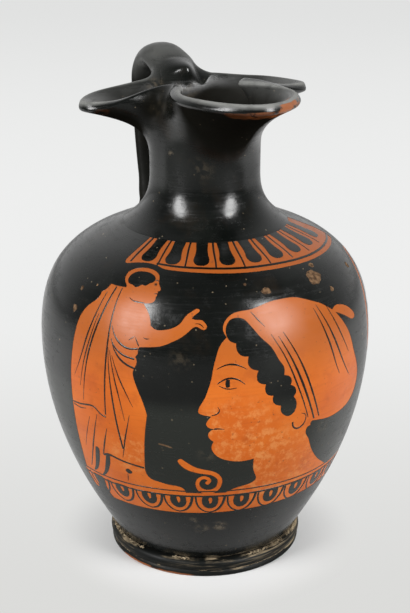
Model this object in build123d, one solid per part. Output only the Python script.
from build123d import *
import os
from math import cos, pi, sin

# A jug of fired clay with a three-lobed mouth, thrown in parts that are joined with clay slip.
# It stands on its foot, with the spout towards -Y and the handle towards +Y. Sizes are in millimetres.

# Slip between the parts, and how far it stays in from a visible edge
slip_thickness = 0.5
slip_inset = 0.3

# Foot: a ring with a lower edge, a scored groove and a rounded moulding
foot_overhang = 2.7
foot_height = 7.6
foot_ring_width = 9.0
foot_edge_inset = 0.5
foot_edge_height = 2.9
foot_edge_round = 0.9
foot_score = 0.5
foot_top_inset = 2.3

# Body: outside radii, with heights above the body's base or depths below the seat of the neck
body_height = 138.9
base_radius = 39.6
flank_radius = 51.0
flank_rise = 20.1
belly_radius = 70.0
belly_drop = 52.5
shoulder_inset = 8.4
shoulder_drop = 16.8
collar_inset = 21.7
collar_drop = 5.9
seat_radius = 34.5
seat_slope = 0.42
body_wall = 4.2
floor_thickness = 5.5
floor_radius = 22.0
mouth_of_body = 25.0

# Neck: from its seat up to the waist, outside
neck_height = 22.3
neck_radius = 22.9
neck_wall = 3.6
neck_flare = 3.0

# Mouth: the middle line of the lip, as reach towards the spout, half width and rise above the waist.
# The lip was pinched by hand: it is turned a little, in degrees, tilts by a slope and its back lies to
# one side.
lip_thickness = 3.9
lip_turn = -2.0
lip_tilt = 0.01
lip_shift = 1.8
spout_flare = 2.3
back_flare = 4.2
spout_reach = 57.2
spout_rise = 33.7
spout_side_reach = 30.0
spout_side_width = 21.6
spout_side_rise = 33.9
pinch_reach = 1.8
pinch_width = 16.2
pinch_rise = 32.6
lobe_front_reach = -3.4
lobe_front_width = 31.8
lobe_front_rise = 29.0
lobe_reach = -10.8
lobe_width = 48.2
lobe_rise = 26.5
lobe_back_reach = -24.4
lobe_back_width = 41.4
lobe_back_rise = 27.0
back_side_reach = -26.6
back_side_width = 22.5
back_side_rise = 30.0
back_reach = -25.0
back_rise = 32.2

# Handle: half sizes of the strap's oval section, and its middle line, with distances beyond the back of
# the lip and heights above or below it. Its upper end stands in a notch cut into the back of the lip,
# and its lower end on the shoulder, at a share of the way from the neck's seat out to the belly.
strap_half_width = 10.4
strap_half_thickness = 4.6
crest_half_width = 9.3
crest_half_thickness = 6.4
upper_root_half_width = 10.9
upper_root_half_thickness = 6.2
upper_end_half_thickness = 2.6
lower_root_half_width = 11.4
lower_root_half_thickness = 5.4
notch_drop = 5.0
upper_end_beyond_lip = -1.8
upper_end_depth = 1.5
upper_root_beyond_lip = 2.6
upper_root_rise = 0.6
ramp_beyond_lip = 11.6
ramp_rise = 3.4
crest_beyond_lip = 20.4
crest_rise = 6.4
bend_beyond_lip = 27.4
bend_drop = 5.0
strap_beyond_lip = 26.3
strap_drop = 18.0
lower_strap_beyond_lip = 21.4
lower_strap_drop = 43.0
lower_root_share = 0.2056
lower_root_depth = 3.0
upper_root_along = 0.1
crest_along = 0.3
strap_along = 0.5
lower_strap_along = 0.86

# Steps along the wall, the strap and half of the lip, stations up the neck and the mouth as shares of
# their heights, and the place up the wall where its inside leaves the floor's corner
wall_steps = 12
inner_wall_start = 0.12
lip_steps = 20
neck_stations = (1.0, 0.7, 0.4, 0.2)
mouth_stations = (0.0, 0.3, 0.55, 0.78, 1.0)
probe = 0.002
strap_steps = 16

foot_radius = base_radius + foot_overhang
base_height = foot_height + slip_thickness
seat_height = base_height + body_height
neck_base_height = seat_height + slip_thickness
waist_height = neck_base_height + neck_height
lip_back = Vector(0, -back_reach, waist_height + back_rise)
lower_root_radius = seat_radius + (belly_radius - seat_radius) * lower_root_share
pad_depth = lower_root_half_width / 2


def ring(inner_radius, outer_radius, low, high):
    # A flat ring about the axis
    outline = Polyline((inner_radius, 0, low), (outer_radius, 0, low), (outer_radius, 0, high),
                       (inner_radius, 0, high), close=True)
    return revolve(make_face(outline), Axis.Z)


def make_foot():
    edge_radius = foot_radius - foot_edge_inset
    tread_radius = edge_radius - foot_edge_round
    bore_radius = foot_radius - foot_ring_width
    top_radius = foot_radius - foot_top_inset
    score_low = foot_edge_height - foot_score
    score_high = foot_edge_height + foot_score
    moulding_height = (score_high + foot_height) / 2
    tread = Line((bore_radius, 0, 0), (tread_radius, 0, 0))
    rounding = TangentArc((tread_radius, 0, 0), (edge_radius, 0, foot_edge_round), tangent=(1, 0, 0))
    edge = Polyline((edge_radius, 0, foot_edge_round), (edge_radius, 0, score_low),
                    (edge_radius - foot_score, 0, foot_edge_height), (edge_radius, 0, score_high))
    moulding = ThreePointArc((edge_radius, 0, score_high), (foot_radius, 0, moulding_height),
                             (top_radius, 0, foot_height))
    inside = Polyline((top_radius, 0, foot_height), (bore_radius, 0, foot_height), (bore_radius, 0, 0))
    return revolve(make_face([tread, rounding, *edge.edges(), moulding, *inside.edges()]), Axis.Z)


def body_wall_line():
    # Outside of the wall, from the base up to the seat of the neck
    points = [
        (base_radius, 0, base_height),
        (flank_radius, 0, base_height + flank_rise),
        (belly_radius, 0, seat_height - belly_drop),
        (belly_radius - shoulder_inset, 0, seat_height - shoulder_drop),
        (belly_radius - collar_inset, 0, seat_height - collar_drop),
        (seat_radius, 0, seat_height),
    ]
    rising = Vector(*points[1]) - Vector(*points[0])
    return Spline(points, tangents=[rising, (-1, 0, seat_slope)])


wall_line = body_wall_line()


def beside_wall(along, out):
    # A point at a distance out from the wall's outside, measured square to it
    tangent = wall_line.tangent_at(along)
    return wall_line.position_at(along) + Vector(tangent.Z, 0, -tangent.X) * out


def beside_wall_line(first, last, out):
    # Points in even steps between two places up the wall, all at one distance out from it
    shares = [step / wall_steps for step in range(wall_steps + 1)]
    return [beside_wall(first + (last - first) * share, out) for share in shares]


def shoulder_place():
    # Where the handle stands: on the shoulder and square to it, with slip under it
    upright = Line((lower_root_radius, 0, base_height), (lower_root_radius, 0, seat_height))
    crossings = [Vector(*vertex) for vertex in wall_line.intersect(upright).vertices()]
    point = max(crossings, key=lambda crossing: crossing.Z)
    tangent = wall_line.tangent_at(point)
    normal = Vector(0, tangent.Z, -tangent.X)
    origin = Vector(0, point.X, point.Z) + normal * slip_thickness
    return Plane(origin, x_dir=(1, 0, 0), z_dir=normal)


def make_body():
    inner_points = beside_wall_line(inner_wall_start, 1.0, -body_wall)
    floor_height = base_height + floor_thickness
    floor_edge = Vector(floor_radius, 0, floor_height)
    inner_rising = inner_points[1] - inner_points[0]
    corner = Spline(floor_edge, inner_points[0], tangents=[(1, 0, 0), inner_rising])
    inside = Spline(inner_points)
    under_seat = inner_points[-1]
    outline = [
        Line((0, 0, base_height), (base_radius, 0, base_height)),
        wall_line,
        Line((seat_radius, 0, seat_height), (mouth_of_body, 0, seat_height)),
        Line((mouth_of_body, 0, seat_height), (mouth_of_body, 0, under_seat.Z)),
        Line((mouth_of_body, 0, under_seat.Z), under_seat),
        inside,
        corner,
        Line(floor_edge, (0, 0, floor_height)),
        Line((0, 0, floor_height), (0, 0, base_height)),
    ]
    return revolve(make_face(outline), Axis.Z)


def make_filled_body():
    # The body's outer form without its hollow
    outline = [
        wall_line,
        Line((seat_radius, 0, seat_height), (0, 0, seat_height)),
        Line((0, 0, seat_height), (0, 0, base_height)),
        Line((0, 0, base_height), (base_radius, 0, base_height)),
    ]
    return revolve(make_face(outline), Axis.Z)


def lip_line():
    # Middle of the lip, from the spout round one side to the back. The spline starts before the spout
    # and ends past the back with points of the other side, so that both sides meet smoothly.
    side = [
        Vector(spout_side_width, -spout_side_reach, waist_height + spout_side_rise),
        Vector(pinch_width, -pinch_reach, waist_height + pinch_rise),
        Vector(lobe_front_width, -lobe_front_reach, waist_height + lobe_front_rise),
        Vector(lobe_width, -lobe_reach, waist_height + lobe_rise),
        Vector(lobe_back_width, -lobe_back_reach, waist_height + lobe_back_rise),
        Vector(back_side_width, -back_side_reach, waist_height + back_side_rise),
    ]
    other_side = [Vector(-point.X, point.Y, point.Z) for point in side]
    spout = Vector(0, -spout_reach, waist_height + spout_rise)
    whole = Spline(other_side[2], other_side[1], other_side[0], spout, *side,
                   lip_back, other_side[5], other_side[4], other_side[3])
    return whole.trim(whole.param_at_point(spout), whole.param_at_point(lip_back))


lip = lip_line()


def mouth_point(around, up):
    # Middle of the wall: once round in 0 to 2 from the spout, and 0 to 1 up from the waist to the lip
    turn = around % 2
    edge = lip.position_at(min(turn, 2 - turn))
    if turn > 1:
        edge = Vector(-edge.X, edge.Y, edge.Z)
    backward = (1 - cos(pi * turn)) / 2
    edge = edge.rotate(Axis.Z, lip_turn) + Vector(lip_shift * backward, 0, lip_tilt * edge.X)
    waist = neck_circle(around, neck_radius - neck_wall / 2, waist_height)
    flare = up ** (spout_flare + (back_flare - spout_flare) * backward)
    return Vector(
        waist.X + (edge.X - waist.X) * flare,
        waist.Y + (edge.Y - waist.Y) * flare,
        waist_height + (edge.Z - waist_height) * up,
    )


def mouth_frame(around, up):
    # Point, outward normal and upward tangent of the mouth's wall
    across = mouth_point(around + probe, up) - mouth_point(around - probe, up)
    rise = mouth_point(around, up + probe) - mouth_point(around, max(up - probe, 0))
    return mouth_point(around, up), across.cross(rise).normalized(), rise.normalized()


def neck_circle(around, radius, height):
    return Vector(sin(pi * around) * radius, -cos(pi * around) * radius, height)


def neck_section(around):
    # The wall's cut at one place round the neck, from its base over the lip and down again
    bore_radius = neck_radius - neck_wall
    lower_share = neck_height / (neck_height + spout_rise)
    outer = []
    inner = []
    marks = []
    for station in neck_stations:
        flare = station ** neck_flare
        height = waist_height - neck_height * station
        outer_radius = neck_radius + (seat_radius - neck_radius) * flare
        inner_radius = bore_radius + (mouth_of_body - bore_radius) * flare
        outer.append(neck_circle(around, outer_radius, height))
        inner.append(neck_circle(around, inner_radius, height))
        marks.append(lower_share * (1 - station))
    for station in mouth_stations:
        point, normal, rise = mouth_frame(around, station)
        thickness = neck_wall + (lip_thickness - neck_wall) * station
        outer.append(point + normal * (thickness / 2))
        inner.append(point - normal * (thickness / 2))
        marks.append(lower_share + (1 - lower_share) * station)
    crest = point + rise * (lip_thickness / 2)
    edges = [
        Line(inner[0], outer[0]),
        Edge.make_spline(outer, parameters=marks),
        ThreePointArc(outer[-1], crest, inner[-1]),
        Edge.make_spline(inner[::-1], parameters=[1 - mark for mark in marks[::-1]]),
    ]
    return Wire(edges)


def make_neck():
    sections = [neck_section(k / lip_steps) for k in range(2 * lip_steps)]
    return Solid.make_loft(sections + sections[:1])


def notch(depth, half_width):
    # Space that is cut down through the back of the lip, to a depth below the handle's upper end
    floor = Vector(0, lip_back.Y, lip_back.Z - notch_drop - depth)
    height = lip_thickness + notch_drop + depth
    return Pos(floor) * Box(2 * half_width, lip_back.Y, height, align=(Align.CENTER, Align.CENTER, Align.MIN))


def make_strap():
    # The whole strap, with both ends running on into the notch's floor and the shoulder
    line = Spline(
        lip_back + Vector(0, upper_end_beyond_lip, -notch_drop - upper_end_depth),
        lip_back + Vector(0, upper_root_beyond_lip, upper_root_rise),
        lip_back + Vector(0, ramp_beyond_lip, ramp_rise),
        lip_back + Vector(0, crest_beyond_lip, crest_rise),
        lip_back + Vector(0, bend_beyond_lip, -bend_drop),
        lip_back + Vector(0, strap_beyond_lip, -strap_drop),
        lip_back + Vector(0, lower_strap_beyond_lip, -lower_strap_drop),
        shoulder.origin,
        shoulder.origin - shoulder.z_dir * lower_root_depth,
    )
    sizes = [
        (0.0, upper_root_half_width, upper_end_half_thickness),
        (upper_root_along, upper_root_half_width, upper_root_half_thickness),
        (crest_along, crest_half_width, crest_half_thickness),
        (strap_along, strap_half_width, strap_half_thickness),
        (lower_strap_along, strap_half_width, strap_half_thickness),
        (1.0, lower_root_half_width, lower_root_half_thickness),
    ]
    sections = []
    for along in [step / strap_steps for step in range(strap_steps + 1)]:
        before, after = [pair for pair in zip(sizes, sizes[1:]) if pair[0][0] <= along][-1]
        share = (1 - cos(pi * (along - before[0]) / (after[0] - before[0]))) / 2
        half_width = before[1] + (after[1] - before[1]) * share
        half_thickness = before[2] + (after[2] - before[2]) * share
        place = Plane(line.position_at(along), x_dir=(1, 0, 0), z_dir=line.tangent_at(along))
        sections.append(place * Ellipse(half_width, half_thickness))
    return loft(sections)


shoulder = shoulder_place()
whole_neck = make_neck()
handle_notch = notch(0.0, upper_root_half_width + slip_inset)
slip_notch = notch(slip_thickness, upper_root_half_width + slip_inset + slip_thickness)
below_notch = Pos(0, 0, -handle_notch.bounding_box().size.Z) * handle_notch
shoulder_pad = shoulder * extrude(Ellipse(lower_root_half_width, lower_root_half_thickness), -pad_depth)
below_shoulder = shoulder * extrude(Rectangle(4 * lower_root_half_width, 4 * lower_root_half_width), -pad_depth)

parts = {
    "foot": make_foot(),
    "foot_luting": ring(foot_radius - foot_ring_width, base_radius - slip_inset, foot_height, base_height),
    "body": make_body(),
    "neck_luting": ring(mouth_of_body, seat_radius - slip_inset, seat_height, neck_base_height),
    "neck": whole_neck - slip_notch,
    "handle": make_strap() - below_notch - below_shoulder,
    "handle_rim_luting": (whole_neck & slip_notch) - handle_notch,
    "handle_shoulder_luting": shoulder_pad - make_filled_body(),
}

os.makedirs("parts", exist_ok=True)
for name, shape in parts.items():
    export_step(Compound(children=shape.solids()), f"parts/{name}.step")
